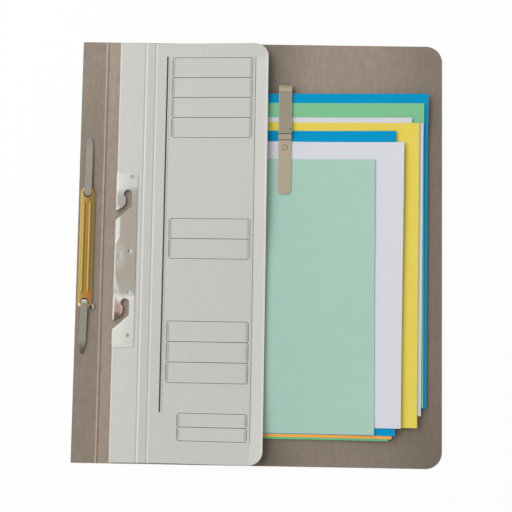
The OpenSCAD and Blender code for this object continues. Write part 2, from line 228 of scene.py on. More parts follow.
def brown_shading_and_tone(finish):
    """Masks of painted light and shade and of tone, each with its share and how light or dark it is."""
    x = finish.axis("X")
    y = finish.axis("Y")
    crease = crease_at["flap_fold"].x
    cover_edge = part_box("front_half_cover")[1].x
    inner = finish.step(x, -80 * MM, -40 * MM)
    return [
        # painted light along the top, painted shade at the right and along the bottom, as the light falls off
        (finish.step(y, 70 * MM, 150 * MM), 0.5, 1.25),
        (finish.step(x, 80 * MM, 132 * MM), 0.7, 0.62),
        ((1 - finish.step(y, -150 * MM, -90 * MM)) * inner, 0.45, 0.7),
        # painted shadow of the half cover's raised edge
        (finish.band(x, cover_edge - 20 * MM, cover_edge + 22 * MM, 16 * MM), 0.7, 0.6),
        # the flap is darker in tone, and a band right of the crease is lighter
        (1 - finish.step(x, crease - 2 * MM, crease), 0.5, 0.78),
        (finish.band(x, crease, crease + 10 * MM, 0.8 * MM), 0.5, 1.25),
        # painted highlight on the left flank of the crease's ridge, painted shade on its right flank
        (finish.band(x, crease - 0.85 * MM, crease - 0.1 * MM, 0.3 * MM), 0.4, 1.9),
        (finish.band(x, crease + 0.1 * MM, crease + 1.2 * MM, 0.3 * MM), 0.35, 0.55),
    ]


SIDE_LINE = 74.3 * MM


def grey_tint_and_shading(finish):
    """A tint covers the half cover up to its side line; creases and free edge get painted highlights and
    shade.
    """
    x = finish.axis("X")
    hook_crease = crease_at["hook_lift"].x
    side_line = crease_at["cover_open"].x + SIDE_LINE
    cover_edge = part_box("front_half_cover")[1].x
    margin = finish.step(x, side_line - 0.4 * MM, side_line + 0.4 * MM)
    margin = margin * (1 - finish.step(finish.axis("Y"), 140 * MM, 148 * MM))
    painted_masks = [
        (finish.step(x, hook_crease - 0.4 * MM, hook_crease + 0.4 * MM) * (1 - margin), 0.8, 0.88),
        # painted highlight along the half cover's free edge
        (finish.step(x, cover_edge - 1.3 * MM, cover_edge - 0.6 * MM), 0.7, 1.16),
    ]
    # a painted highlight right of each crease and painted shade left of it
    for joint, share in (("hook_lift", 0.7), ("cover_open", 0.4)):
        crease = crease_at[joint].x
        painted_masks.append((finish.band(x, crease + 0.1 * MM, crease + 1.3 * MM, 0.3 * MM), share, 1.25))
        painted_masks.append((finish.band(x, crease - 0.9 * MM, crease - 0.1 * MM, 0.3 * MM), 0.5, 0.85))
    return painted_masks


brown_card = card_finish("brown_card", screen(147, 134, 121), 0.17, 0.86, 0.05, brown_shading_and_tone)
grey_card = card_finish("grey_card", screen(205, 204, 199), 0.035, 0.72, 0.025, grey_tint_and_shading)

# %% [markdown]
# ## Coloured paper
# Copy paper has a fine tooth and an even dye. The same function makes every sheet's finish, so that the
# stack reads as one kind of paper in several colours.


# %% Paper finishes
def paper_finish(name, colour):
    finish = Finish(name)
    clouds = finish.noise(9, 3)
    tooth = finish.noise(0.35, 3)
    tone = finish.mix(clouds * 0.6 + tooth * 0.4, shade(colour, 0.95), shade(colour, 1.05))
    return finish.done(
        Base_Color=tone,
        Roughness=tooth * 0.1 + 0.72,
        Normal=finish.bump(tooth, 0.012),
        Specular_IOR_Level=0.12,
    )


paper = {
    "blue": paper_finish("blue_paper", screen(0, 150, 201)),
    "green": paper_finish("green_paper", screen(130, 196, 149)),
    "deep_green": paper_finish("deep_green_paper", screen(104, 188, 136)),
    "white": paper_finish("white_paper", screen(215, 217, 223)),
    "yellow": paper_finish("yellow_paper", screen(232, 211, 91)),
    "orange": paper_finish("orange_paper", screen(240, 172, 82)),
    "mint": paper_finish("mint_paper", screen(168, 203, 188)),
}

# %% [markdown]
# ## Metal
# All the metal here is thin rolled strip. Rolling leaves faint lines along the strip, handling leaves dull
# patches and fine scratches across it, and the sheet is never quite flat, so reflections waver. Each metal
# has its own colour, dullness and waver, and some have marks: places where the plating has another colour,
# and painted highlights, reflections and shade. The rivets are dull zinc, which scatters about as much
# light as it mirrors, and the strip's end throws a painted shadow on the lower one. The prongs are stained
# at their tips and have a painted glint at the lower root. The base is their steel painted darker, as shade
# under the strip, and painted shade lies on it round their roots.


# %% Metal finishes
def metal_finish(name, colour, roughness, waver_mm, tarnish, marks=None, lean=None, shine=1.0):
    finish = Finish(name)
    rolling = finish.noise(0.25, 2, (1, 60, 1))
    handling = finish.noise(5, 3, (1, 2, 1))
    scratches = finish.step(finish.noise(0.22, 1, (14, 1, 1)), 0.68, 0.76)
    waver = finish.noise(16, 1, (1, 1.6, 1))
    tone = finish.mix(handling * 0.7 + rolling * 0.3, shade(colour, tarnish), shade(colour, 2 - tarnish))
    for mask, mark in marks(finish) if marks else []:
        tone = finish.mix(mask, tone, mark)
    dullness = handling * 0.1 + rolling * 0.06 + scratches * 0.08 + (roughness - 0.08)
    relief = waver * (waver_mm * MM) + rolling * (0.0015 * MM)
    if lean:
        relief = relief + lean(finish)
    return finish.done(
        Base_Color=tone,
        Metallic=shine,
        Roughness=dullness,
        Normal=finish.bump(relief, 1 / MM),
    )


def squared(finish, x, y, half_x_mm, half_y_mm):
    """The squared distance from a place, which is 1 on an ellipse round it."""
    across = (finish.axis("X") - x) / (half_x_mm * MM)
    along = (finish.axis("Y") - y) / (half_y_mm * MM)
    return across * across + along * along


def spot(finish, *ellipse):
    """1 at a place, falling to 0 on an ellipse round it."""
    return 1 - finish.step(squared(finish, *ellipse), 0.0, 1.0)


def prong_glint_and_stains(finish):
    """A painted glint at the lower root, and stains at the two tips."""
    y = finish.axis("Y")
    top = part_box("prong_upper")[1].y
    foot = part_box("prong_lower")[0].y
    root = crease_at["prong_lower_bend"]
    return [
        # painted highlight on the lower prong's root
        (spot(finish, root.x, root.y + 0.7 * MM, 3, 1.9) * 0.6, screen(246, 247, 238)),
        (finish.step(y, top - 7 * MM, top - 4 * MM) * 0.6, screen(158, 164, 150)),
        (1 - finish.step(y, foot + 1 * MM, foot + 11 * MM), screen(118, 112, 102)),
    ]


def rivet_painted_shadow(finish):
    """Painted shadow that the strip's end throws on the lower rivet."""
    low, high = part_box("cover_strip")
    return [(spot(finish, high.x - 0.7 * MM, low.y + 1.2 * MM, 1.8, 3.4), screen(52, 45, 40))]


def base_painted_shade(finish):
    """Painted shade on the base under the strip's holes, round the roots of the prongs."""
    roots = [crease_at[joint] for joint in ("prong_upper_bend", "prong_lower_bend")]
    return [(spot(finish, root.x, root.y, 5, 5), screen(46, 40, 34)) for root in roots]


prong_steel = metal_finish("prong_steel", screen(178, 174, 160), 0.4, 0.05, 0.9, prong_glint_and_stains)
# the base is the prongs' steel painted darker: painted shade for its edge under the brass strip
shaded_base_steel = metal_finish("shaded_base_steel", screen(150, 147, 140), 0.45, 0.05, 0.85, base_painted_shade)
rivet_steel = metal_finish("rivet_steel", screen(176, 178, 172), 0.4, 0.02, 0.9, rivet_painted_shadow, shine=0.4)

# %% [markdown]
# The hook plate leans: its ends are bent a little to the left, and it falls away along its fold, in a strip
# that is narrow at the middle and wide at the lower slot. So slight a tilt shows in what the metal mirrors
# and not in its outline, so it is bump. Between the slots the plate has yellowed and carries the painted
# highlights and shade of a shallow dent. On the lower slot's lip a painted reflection of the brown card
# darkens to the tip, the fold is painted darker to dull its highlight, and the crimps carry painted light.


# %% Hook plate finish
PLATE_SLOPE = 0.1
TOP_LEAN = 1.5
FOOT_LEAN = 2.1
FALL_LEAN = 2.6


def fall_width(finish):
    """How wide the strip is that falls away along the fold."""
    y = finish.axis("Y")
    widening = 1 - finish.step(y, -44 * MM, -8 * MM)
    below_neck = finish.band(y, 6.3 * MM, 32 * MM, 3.6 * MM)
    return widening * widening * (7 * MM) + below_neck * (2.2 * MM) + 1.2 * MM


def plate_lean(finish):
    """The plate's departure from a plane, in metres."""
    low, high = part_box("hook_plate")
    inward = finish.axis("X") - low.x
    y = finish.axis("Y")
    top = finish.step(y, 38 * MM, 47 * MM)
    foot = 1 - finish.step(y, -37 * MM, -29.5 * MM)
    width = fall_width(finish)
    fall = (1 - finish.step(inward / width, 0.0, 1.4)) * width * (-PLATE_SLOPE * FALL_LEAN)
    ends = (top * TOP_LEAN + foot * FOOT_LEAN) * (inward - (high.x - low.x) / 2) * PLATE_SLOPE
    return ends + (1 - top - foot) * fall


def crimp_painted_light(finish):
    """Painted light on the two middle crimps: painted shade at their left, a painted highlight at their
    right.
    """
    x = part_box("plate_crimps")[1].x - 1.3 * MM
    marks = []
    for y, amount in ((-1.5 * MM, 0.75), (-31.4 * MM, 0.5)):
        marks.append((spot(finish, x + 0.6 * MM, y, 2.0, 2.2), screen(250, 250, 246)))
        marks.append((spot(finish, x - 0.9 * MM, y + 0.2 * MM, 1.1, 1.5) * amount, screen(128, 122, 112)))
    return marks


def plate_tone_and_painted_light(finish):
    """Yellowed nickel, the strip that falls away, and painted light on the lip, the dent, the fold and the
    crimps.
    """
    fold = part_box("hook_plate")[0].x
    inward = finish.axis("X") - fold
    flat = finish.step(inward, 0.8 * MM, 2 * MM)
    level = finish.step(inward / fall_width(finish), 0.8, 1.4)
    between = finish.band(finish.axis("Y"), -30 * MM, 36 * MM, 8 * MM)
    return [
        (between * level * 0.9, screen(222, 211, 195)),
        (between * (1 - level) * 0.9, screen(196, 197, 191)),
        # painted reflection of the brown card on the lower slot's lip, darkening to the tip
        (spot(finish, fold + 4 * MM, -44 * MM, 4.8, 8.5) * flat * 0.9, screen(174, 134, 122)),
        (spot(finish, fold + 3.2 * MM, -50 * MM, 5, 5.4) * flat * 0.9, screen(96, 74, 64)),
        (spot(finish, fold + 2.4 * MM, -38 * MM, 1.7, 5) * flat * 0.6, screen(178, 148, 136)),
        # painted highlights and painted shade of a shallow dent between the slots
        (spot(finish, fold + 4.2 * MM, -5 * MM, 6, 14) * flat * 0.5, screen(250, 246, 236)),
        (spot(finish, fold + 5.6 * MM, -4.4 * MM, 1.8, 4.4) * 0.5, screen(255, 254, 248)),
        (spot(finish, fold + 2.8 * MM, -5.5 * MM, 1.8, 2.6) * flat * 0.6, screen(205, 196, 182)),
        # painted shade along the fold, dulling its highlight
        ((1 - flat) * 0.6, screen(192, 191, 184)),
    ] + crimp_painted_light(finish)


nickel = metal_finish("nickel_plate", screen(222, 221, 214), 0.24, 0.2, 0.96, plate_tone_and_painted_light, plate_lean)
crimp_steel = metal_finish("crimp_steel", screen(205, 206, 200), 0.26, 0.02, 0.94, crimp_painted_light)

# %% [markdown]
# The brass strip is thin plating. Pale painted highlights lie along its left edge and on one rib, with a
# painted glint on its lower rim, and an orange reflection is painted at its lower end. Masks made from the
# strip's own box stay sharp at any distance, which a painted picture would not.


# %% Brass finish
def brass_painted_light(finish):
    low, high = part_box("cover_strip")
    share = (finish.axis("X") - low.x) / (high.x - low.x)
    ribs = finish.band(finish.axis("Y"), -31 * MM, 34.5 * MM, 1 * MM)
    painted_highlight = screen(208, 184, 112)
    return [
        # painted highlights along the left edge and on one rib
        (finish.band(share, -0.1, 0.3, 0.04) * 0.5, painted_highlight),
        (finish.band(share, 0.62, 0.77, 0.03) * ribs * 0.8, painted_highlight),
        # painted orange reflection at the lower end
        (spot(finish, high.x - 2.6 * MM, low.y + 7.5 * MM, 5.2, 9) * 0.85, screen(230, 154, 82)),
        # painted glint on the lower rim
        (spot(finish, low.x + 1.4 * MM, low.y + 3 * MM, 1.5, 1.6) * 0.9, screen(255, 252, 214)),
    ]


brass = metal_finish("brass_strip", screen(190, 154, 79), 0.3, 0.05, 0.92, brass_painted_light)

# %% [markdown]
# The clip's arm has darkened and its tongue, which the papers rub, is bright. The scored lines and a nick
# over the step are darker, painted shade lies in a ring round the tongue's rivet, the long edges carry a
# painted highlight, and the tight bend at the top shows a yellow heat tint. The leaf lies right under the
# arm, so the marks end at the height of the bend.


# %% Clip finish
STEP_TOP = 87.0 * MM
STEP_FOOT = 82.7 * MM
BEND_SCORE = 118.3 * MM
CLIP_SET = -0.35 * MM  # the clip sits that much left of its packed place
RIM_OUTER = 2.2
RIM_INNER = 1.65
rivet_low, rivet_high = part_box("clip_rivet")
rivet_x = (rivet_low.x + rivet_high.x) / 2 + CLIP_SET
rivet_y = (rivet_low.y + rivet_high.y) / 2


def clip_tone_and_painted_light(finish):
    low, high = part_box("clip_arm")
    x = finish.axis("X")
    y = finish.axis("Y")
    edge = 0.45 * MM
    painted_masks = 1 - finish.band(x, low.x + CLIP_SET + edge, high.x + CLIP_SET - edge, 0.15 * MM)
    dirt_and_shade = shade(screen(120, 108, 88), 0.6)
    scores = [
        (finish.band(y, score - 0.3 * MM, score + 0.3 * MM, 0.2 * MM) * share, dirt_and_shade)
        for score, share in ((STEP_TOP, 0.85), (STEP_FOOT, 0.85), (BEND_SCORE, 0.4))
    ]
    rim = squared(finish, rivet_x, rivet_y, RIM_OUTER, RIM_OUTER)
    marks = [
        (1 - finish.step(y, STEP_TOP - 0.4 * MM, STEP_TOP + 0.4 * MM), screen(228, 211, 183)),
        (finish.step(y, BEND_SCORE - 0.3 * MM, BEND_SCORE + 0.3 * MM) * 0.8, screen(226, 217, 190)),
        (finish.band(y, high.y - 2.5 * MM, high.y - 1.2 * MM, 0.3 * MM) * 0.7, screen(204, 182, 116)),
        # painted highlight along the long edges
        (painted_masks * 0.7, screen(238, 226, 206)),
        *scores,
        # painted shade in a ring round the tongue's rivet
        (finish.band(rim, (RIM_INNER / RIM_OUTER) ** 2, 1.0, 0.1) * 0.7, dirt_and_shade),
        (spot(finish, high.x + CLIP_SET - 0.9 * MM, STEP_TOP + 3.7 * MM, 0.8, 0.7), dirt_and_shade),
    ]
    bend_z = crease_at["clip_lift"].z
    arm = finish.step(finish.axis("Z"), bend_z - 0.3 * MM, bend_z + 0.3 * MM)
    return [(mask * arm, mark) for mask, mark in marks]


clip_steel = metal_finish("clip_steel", screen(199, 188, 167), 0.32, 0.06, 0.84, clip_tone_and_painted_light)

# %% [markdown]
# ## Ink
# The long rule is printed in dark ink, the boxes in a paler one and their ends in a tint. Ink on card is
# uneven where the fibres didn't take it.


# %% Ink finishes
def ink_finish(name, colour):
    finish = Finish(name)
    patches = finish.noise(0.5, 3)
    tone = finish.mix(patches, shade(colour, 0.8), shade(colour, 1.25))
    return finish.done(Base_Color=tone, Roughness=patches * 0.2 + 0.5)


dark_ink = ink_finish("dark_ink", screen(58, 58, 53))
line_ink = ink_finish("line_ink", screen(104, 102, 96))
tint_ink = ink_finish("tint_ink", screen(171, 170, 166))

# %% [markdown]
# ## Working on shapes
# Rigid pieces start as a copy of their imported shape, so their size is right. The copy is cleaned, cut along
# planes where it has to bend, moved by a rule, and its sharp edges are rounded, because real edges catch
# light. Cards and papers that bend are built here as ruled sheets.


# %% Shape tools
def packed_shape(node):
    """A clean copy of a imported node's mesh, with flat faces joined."""
    shape = bmesh.new()
    shape.from_mesh(frame["nodes"][node].data)
    bmesh.ops.remove_doubles(shape, verts=shape.verts, dist=0.002 * MM)
    flat = math.radians(0.4)
    bmesh.ops.dissolve_limit(shape, angle_limit=flat, verts=shape.verts, edges=shape.edges)
    return shape


def slice_shape(shape, normal, points):
    """Cuts the faces along planes through the points."""
    for point in points:
        parts = shape.verts[:] + shape.edges[:] + shape.faces[:]
        bmesh.ops.bisect_plane(shape, geom=parts, dist=0.0005 * MM, plane_co=point, plane_no=normal)


def slice_rows(shape, places):
    """Cuts the faces straight across the folder at places along y."""
    slice_shape(shape, (0, 1, 0), [(0, y, 0) for y in places])


def round_edges(shape, width_mm, steps=2, sharper=35):
    """Rounds every edge that is sharper than the given angle."""
    limit = math.radians(sharper)
    sharp = [e for e in shape.edges if len(e.link_faces) == 2 and e.calc_face_angle() > limit]
    bmesh.ops.bevel(
        shape, geom=sharp, offset=width_mm * MM, segments=steps, profile=0.5,
        affect="EDGES", clamp_overlap=True,
    )
    return shape


def ruled_sheet(columns, rows, half_height, middle, top, thickness):
    """A closed sheet: columns lie across, rows go from -1 to 1, and top gives the upper face's level."""
    shape = bmesh.new()
    grid = []
    for x in columns:
        line = []
        for row in rows:
            y = middle + row * half_height(x)
            upper = shape.verts.new((x, y, top(x, y)))
            lower = shape.verts.new((x, y, top(x, y) - thickness))
            line.append((upper, lower))
        grid.append(line)
    for left, right in zip(grid, grid[1:]):
        for a, b, c, d in zip(left, right, right[1:], left[1:]):
            shape.faces.new((a[0], b[0], c[0], d[0]))
            shape.faces.new((d[1], c[1], b[1], a[1]))
        for end in (0, -1):
            shape.faces.new((left[end][0], left[end][1], right[end][1], right[end][0]))
    for line in (grid[0], grid[-1]):
        for low, high in zip(line, line[1:]):
            shape.faces.new((low[0], low[1], high[1], high[0]))
    bmesh.ops.recalc_face_normals(shape, faces=shape.faces)
    return shape


def even(first, last, count):
    """Evenly spaced values, ends included."""
    return [first + (last - first) * i / (count - 1) for i in range(count)]


def hump(distance, reach):
    """1 at no distance, falling smoothly to 0 at reach."""
    return math.cos(math.pi / 2 * min(1, abs(distance) / reach)) ** 2


def round_steps(count):
    """Shares of a radius at even steps round a quarter circle, from the first step to its end."""
    return [math.sin(math.pi / 2 * i / count) for i in range(1, count + 1)]


def piece(name, shape, finish, stands_for, body=None):
    """A new object made from the shape. It rides on body, if one is given."""
    mesh = bpy.data.meshes.new(name)
    shape.to_mesh(mesh)
    shape.free()
    mesh.materials.append(finish)
    mesh.shade_smooth()
    mesh.set_sharp_from_angle(angle=math.radians(50))
    made = bpy.data.objects.new(name, mesh)
    scene.collection.objects.link(made)
    made.modifiers.new("flat_faces_stay_flat", "WEIGHTED_NORMAL").keep_sharp = True
    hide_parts(*stands_for)
    if body:
        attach(made, body)
    print(name, len(mesh.polygons), "faces")
    return made


# %% [markdown]
# ## The grey-brown card
# The back and the fastener flap are one sheet of card with a pressed crease. Two boards with a gap would
# tear when the flap folds, so this is one ruled sheet across both. The crease shows as a low soft ridge.

# %% Grey-brown card
RIDGE_REACH = 1.4 * MM
RIDGE_RISE = 0.42 * MM
back_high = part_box("back_cover")[1]
flap_low, flap_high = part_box("fastener_flap")
card_t = flap_high.z
BACK_CORNER = 12 * MM
corner_start = back_high.x - BACK_CORNER
flap_crease = crease_at["flap_fold"].x


def round_end(left, radius):
    """Half the width of a round end at a distance from its very end."""
    return math.sqrt(max(0, radius ** 2 - (radius - min(left, radius)) ** 2))


def brown_half(x):
    """Half the card's height at x: its right corners are round."""
    return back_high.y - BACK_CORNER + round_end(back_high.x - x, BACK_CORNER)


def brown_top(x, y):
    return card_t + RIDGE_RISE * hump(x - flap_crease, RIDGE_REACH)


brown_columns = (
    even(flap_low.x, flap_crease - RIDGE_REACH, 6)
    + even(flap_crease - RIDGE_REACH, flap_crease + RIDGE_REACH, 17)[1:]
    + even(flap_crease + RIDGE_REACH, corner_start, 14)[1:]
    + [corner_start + BACK_CORNER * share for share in round_steps(12)]
)
brown_shape = ruled_sheet(brown_columns, even(-1, 1, 11), brown_half, 0, brown_top, card_t)
round_edges(brown_shape, 0.09)
brown = piece("brown_card", brown_shape, brown_card, ["back_cover", "fastener_flap"])
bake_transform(brown)

# %% [markdown]
# ## The light grey sheet
# This sheet has two creases. Left of the first one the hook strip rises a little, between them the sheet is
# glued down, and right of the second one the half cover stands open. Each panel keeps its packed outline,
# with the hook slots, and its end face is drawn on along the crease and half way over the glued band. A
# point on a panel is given by u, its distance from the crease, and w, its height over the panel's face.

# %% Panels that turn about a crease
class Panel:
    """The plane of a packed panel at rest."""

    def __init__(self, node, joint):
        self.crease = crease_at[joint]
        points = [vertex.co for vertex in frame["nodes"][node].data.vertices]
        far = max(points, key=lambda point: point.z)
        run = Vector((far.x - self.crease.x, 0, far.z - self.crease.z))
        self.length = run.length
        self.along = run.normalized()
        self.up = Vector((-self.along.z, 0, self.along.x)) * math.copysign(1, self.along.x)

    def local(self, point):
        offset = point - self.crease
        return offset.dot(self.along), point.y, offset.dot(self.up)

    def world(self, u, y, w):
        return Vector((self.crease.x, y, self.crease.z)) + self.along * u + self.up * w

    def reshape(self, shape, rule):
        for vertex in shape.verts:
            vertex.co = self.world(*rule(*self.local(vertex.co)))

    def slice(self, shape, distances):
        slice_shape(shape, self.along, [self.world(u, 0, 0) for u in distances])


hook = Panel("hook_strip", "hook_lift")
front = Panel("front_half_cover", "cover_open")
print("hook strip", round(hook.length / MM, 1), "mm, half cover", round(front.length / MM, 1), "mm")

# %% Draw a panel on over its crease
GROOVE_REACH = 1.1 * MM
GROOVE_DEPTH = 0.19 * MM
band_half = abs(crease_at["cover_open"].x - crease_at["hook_lift"].x) / 2


def draw_on(shape, panel):
    """Extrudes the panel's end face over the crease to the middle of the glued band."""
    end = min(shape.faces, key=lambda face: abs(panel.local(face.calc_center_median())[0]))
    start = panel.local(end.calc_center_median())[0]
    side = -math.copysign(1, panel.along.x)
    for distance in even(0, GROOVE_REACH + start, 12)[1:] + [band_half + start]:
        end = bmesh.ops.extrude_discrete_faces(shape, faces=[end])["faces"][0]
        past = distance - start
        for vertex in end.verts:
            lower = vertex.co.z < panel.crease.z - card_t / 2
            level = -card_t if lower else 0
            if past < 0:
                vertex.co = panel.world(-past, vertex.co.y, level)
            else:
                vertex.co = Vector((panel.crease.x + side * past, vertex.co.y, panel.crease.z + level))


def groove(u, y, w):
    return u, y, w - GROOVE_DEPTH * hump(u, GROOVE_REACH) * (1 if w > -card_t / 2 else 0)


near_crease = [0.5 * MM, 0.75 * MM, 1.0 * MM, GROOVE_REACH]

# %% [markdown]
# The hook strip's free edge lies in the fold of the steel plate and is pressed a little round there. Its
# upper half is narrower than its foot. The plate and its crimps will follow the same rule, so that they
# stay on the edge.

# %% Hook strip
EDGE_ROLL = 1.0 * MM
EDGE_DROP = 0.24 * MM
EDGE_IN = 0.5 * MM
DRAWN_FROM = -60 * MM
DRAWN_OVER = 80 * MM


def rolled_edge(u, y, w):
    """The strip's free edge is pressed a little round."""
    inward = max(0, hook.length - u)
    return u, y, w - EDGE_DROP * hump(inward, EDGE_ROLL) * (1 if w > -card_t / 2 else 0)


def drawn_in(u, y, w):
    """The strip isn't cut quite straight: its upper half is narrower, by EDGE_IN at its free edge."""
    upward = min(1, max(0, (y - DRAWN_FROM) / DRAWN_OVER))
    return u - EDGE_IN * upward * max(0, u / hook.length), y, w


hook_shape = packed_shape("hook_strip")
hook.slice(hook_shape, near_crease + [hook.length - EDGE_ROLL * part for part in (1, 0.75, 0.5, 0.25)])
draw_on(hook_shape, hook)
hook.reshape(hook_shape, groove)
hook.reshape(hook_shape, rolled_edge)
hook.reshape(hook_shape, drawn_in)
round_edges(hook_shape, 0.08)
hook_card = piece("hook_strip_card", hook_shape, grey_card, ["hook_strip"])
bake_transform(hook_card)

# %% [markdown]
# The half cover is springy card. It bends up towards its free edge, and in its lower middle that edge sags
# on the papers, so its shadow is narrow there and wide near the top. A modifier could bend the card, but
# the printed lines have to follow it closely. So the card is cut both ways, and one rule moves the points
# of both.

# %% Half cover
BOW_START = 4 * MM
BOW_RISE = 1.6 * MM
BOW_REACH = 0.7 * MM
SAG = 2.1 * MM
SAG_MIDDLE = -55 * MM
SAG_HALF = 88 * MM
bow_cuts = even(BOW_START, front.length, 26)[:-1]
sag_cuts = even(SAG_MIDDLE - SAG_HALF, SAG_MIDDLE + SAG_HALF, 49)


def bowed(u, y, w):
    """Bends the half cover up towards its free edge, which keeps its reach, and lets it sag."""
    out = max(0, (u - BOW_START) / (front.length - BOW_START))
    along = min(1, abs(y - SAG_MIDDLE) / SAG_HALF)
    rise = BOW_RISE - SAG * (1 - along ** 4) ** 2
    return u + BOW_REACH * out ** 12, y, w + rise * out ** 1.7


front_shape = packed_shape("front_half_cover")
front.slice(front_shape, near_crease + bow_cuts)
draw_on(front_shape, front)
slice_rows(front_shape, sag_cuts)
front.reshape(front_shape, groove)
front.reshape(front_shape, bowed)
round_edges(front_shape, 0.08)
front_nodes = ["front_half_cover", "cover_band"]
front_card = piece("half_cover_card", front_shape, grey_card, front_nodes)
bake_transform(front_card)

# %% [markdown]
# ## The printed boxes
# The half cover has ruled boxes for writing in. A texture would blur lines this thin, so each line is a
# very thin bar of ink that lies on the card and rides on the front body. The bars are cut where the card is
# cut and bowed by the same rule. A row is a rounded box with a second line and a pale tint at both ends.

# %% Ink bars on the half cover
INK_T = 0.02 * MM
LINE_W = 0.42 * MM
ROW_CORNER = 1.6 * MM
END_GAP = 1.75 * MM


def ink_bar(shape, loop):
    """A closed bar from a loop of (u, y) points in order."""
    upper = [shape.verts.new(front.world(u, y, INK_T)) for u, y in loop]
    lower = [shape.verts.new(front.world(u, y, -INK_T)) for u, y in loop]
    shape.faces.new(upper)
    shape.faces.new(lower[::-1])
    for i in range(len(loop)):
        shape.faces.new((lower[i - 1], lower[i], upper[i], upper[i - 1]))


def printed(name, shape, ink):
    """Lays finished bars on the bowed cover."""
    front.slice(shape, bow_cuts)
    slice_rows(shape, sag_cuts)
    front.reshape(shape, bowed)
    piece(name, shape, ink, [], "front")


def straight_bar(shape, left, bottom, right, top):
    ink_bar(shape, [(left, bottom), (right, bottom), (right, top), (left, top)])


def rounded_loop(left, bottom, right, top, radius, steps=6):
    corners = [(right, top, 0), (left, top, 1), (left, bottom, 2), (right, bottom, 3)]
    loop = []
    for x, y, quarter in corners:
        inner_x = x + radius * (1 if x == left else -1)
        inner_y = y + radius * (1 if y == bottom else -1)
        for angle in even(quarter * math.pi / 2, (quarter + 1) * math.pi / 2, steps):
            loop.append((inner_x + radius * math.cos(angle), inner_y + radius * math.sin(angle)))
    return loop


def ring_bar(shape, left, bottom, right, top, radius):
    """A rounded rectangle drawn with one line."""
    half = LINE_W / 2
    outer = rounded_loop(left - half, bottom - half, right + half, top + half, radius + half)
    inner = rounded_loop(left + half, bottom + half, right - half, top - half, radius - half)
    for i in range(len(outer)):
        ink_bar(shape, [outer[i - 1], outer[i], inner[i], inner[i - 1]])


# %% Boxes and rules
BOX_RIGHT = 72.1 * MM
BOXES = [  # left end, top, number of rows, height of a row
    (12.5 * MM, 143.6 * MM, 4, 15.0 * MM),
    (12.5 * MM, 23.3 * MM, 2, 14.7 * MM),
    (12.5 * MM, -51.8 * MM, 3, 14.83 * MM),
    (21.5 * MM, -118.0 * MM, 2, 9.85 * MM),
]
lines = bmesh.new()
tints = bmesh.new()
for left, box_top, count, height in BOXES:
    for row in range(count):
        top = box_top - row * height
        bottom = top - height
        ring_bar(lines, left, bottom, BOX_RIGHT, top, ROW_CORNER)
        low = bottom + ROW_CORNER
        high = top - ROW_CORNER
        for outer, inner in ((left, left + END_GAP), (BOX_RIGHT - END_GAP, BOX_RIGHT)):
            straight_bar(tints, outer + LINE_W / 2, low, inner, high)
        for middle in (left + END_GAP, BOX_RIGHT - END_GAP):
            straight_bar(lines, middle - LINE_W / 6, bottom, middle + LINE_W / 6, top)
straight_bar(lines, SIDE_LINE - LINE_W / 2, -137.9 * MM, SIDE_LINE + LINE_W / 2, 144.2 * MM)
printed("ruled_lines", lines, line_ink)
printed("ruled_tints", tints, tint_ink)

RULE_LEFT = 8.1 * MM
RULE_W = 1.15 * MM
RULE_FOOT = -117.7 * MM
heavy = bmesh.new()
straight_bar(heavy, RULE_LEFT, RULE_FOOT, RULE_LEFT + RULE_W, 144.5 * MM)
printed("heavy_rule", heavy, dark_ink)
faint = bmesh.new()
straight_bar(faint, RULE_LEFT + 1.6 * RULE_W, RULE_FOOT, RULE_LEFT + 2.2 * RULE_W, 143.8 * MM)
printed("faint_rule", faint, tint_ink)

# %% [markdown]
# ## The hook plate
# A nickel-plated steel plate is folded round the strip's edge and has two hook slots. Its upper leaf isn't
# quite flat: it bulges between the slots and rolls down to the fold, which is what bends its reflections.
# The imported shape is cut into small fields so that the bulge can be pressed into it.

# %% Hook plate
plate_low, plate_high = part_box("hook_plate")
plate_middle = (plate_low.y + plate_high.y) / 2
PLATE_BULGE = 0.12 * MM
BULGE_WIDTH = 15 * MM
ROLL_WIDTH = 0.8 * MM
ROLL_DROP = 0.07 * MM


def pressed_plate(u, y, w):
    """Lifts the upper leaf in a long bulge and rolls its left edge down."""
    if w < -card_t / 4:
        return u, y, w
    inward = max(0, hook.length - u)
    reach = (y - plate_middle) / (plate_high.y - plate_middle)
    bulge = PLATE_BULGE * math.sin(math.pi * min(1, inward / BULGE_WIDTH)) * (1 - 0.6 * reach ** 2)
    bow = PLATE_BULGE * 1.4 * (1 - reach ** 2)
    return u, y, w + bulge + bow - ROLL_DROP * hump(inward, ROLL_WIDTH)


plate_shape = packed_shape("hook_plate")
across = even(0.2 * MM, 1.7 * MM, 6) + even(3 * MM, 13 * MM, 6)
hook.slice(plate_shape, [hook.length - inward for inward in across])
slice_rows(plate_shape, even(plate_low.y + 3 * MM, plate_high.y - 3 * MM, 31))
hook.reshape(plate_shape, pressed_plate)
hook.reshape(plate_shape, drawn_in)
round_edges(plate_shape, 0.09)
piece("hook_plate_steel", plate_shape, nickel, ["hook_plate"], "hook")

crimp_shape = packed_shape("plate_crimps")
hook.reshape(crimp_shape, pressed_plate)
hook.reshape(crimp_shape, drawn_in)
round_edges(crimp_shape, 0.04)
piece("crimp_heads", crimp_shape, crimp_steel, ["plate_crimps"], "hook")

# %% [markdown]
# ## The fastener
# A steel base is riveted to the flap, two flat prongs rise from it through the brass strip, and they are
# bent outward over it. The strip is pressed: its edges turn down, which is why one side of it is light and
# the other dark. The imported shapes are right, so they only get that turn and rounded edges.

# %% Fastener
strip_low, strip_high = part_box("cover_strip")
strip_middle = (strip_low.x + strip_high.x) / 2
strip_half = (strip_high.x - strip_low.x) / 2
EDGE_TURN = 0.42 * MM

